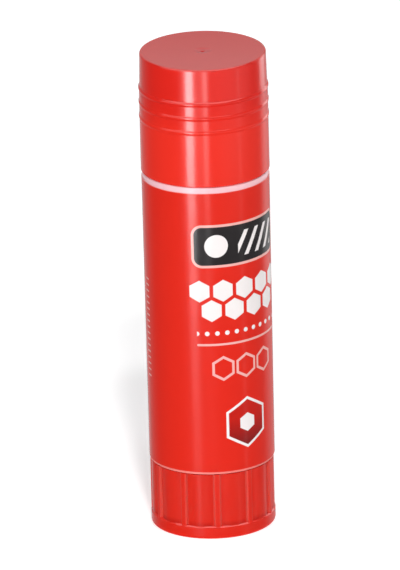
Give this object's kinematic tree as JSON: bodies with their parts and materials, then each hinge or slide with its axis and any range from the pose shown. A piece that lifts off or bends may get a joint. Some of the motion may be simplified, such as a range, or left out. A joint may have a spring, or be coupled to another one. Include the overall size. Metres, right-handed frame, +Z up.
{
  "type": "glue stick",
  "caption": "Twist-up glue stick: turning the fluted knob drives a threaded spindle that raises the glue, and a ringed push-on cap lifts off.",
  "frame": {"origin": "middle of the underside of the knob, on the surface that the stick stands on", "axes": "+Z up along the stick's axis towards the cap; the side of the label seen in the picture faces -Y"},
  "size_m": [0.0306, 0.0306, 0.1164],
  "materials": {
    "cap_plastic": "gloss",
    "barrel_plastic": "satin",
    "label_film": "satin gloss",
    "knob_plastic": "gloss",
    "spindle_plastic": "moulded",
    "carrier_plastic": "moulded",
    "glue": "waxy"
  },
  "bodies": {
    "barrel": {"barrel": "barrel_plastic", "label": "label_film"},
    "cap": {"cap": "cap_plastic"},
    "knob": {"knob": "knob_plastic", "spindle": "spindle_plastic"},
    "carrier": {"carrier": "carrier_plastic", "glue": "glue"}
  },
  "joints": [
    {"name": "cap_lift", "type": "slide", "parent": "barrel", "child": "cap", "axis": [0, 0, 1], "range_m": [0, 0.04]},
    {"name": "knob_turn", "type": "hinge", "parent": "barrel", "child": "knob", "pos_m": [0, 0, 0], "axis": [0, 0, 1], "range_deg": [0, 720]},
    {"name": "carrier_lift", "type": "slide", "parent": "barrel", "child": "carrier", "axis": [0, 0, 1], "range_m": [0, 0.016]}
  ],
  "couplings": [
    {"joint": "knob_turn", "follows": "carrier_lift", "rad_per_m": 785.4}
  ]
}
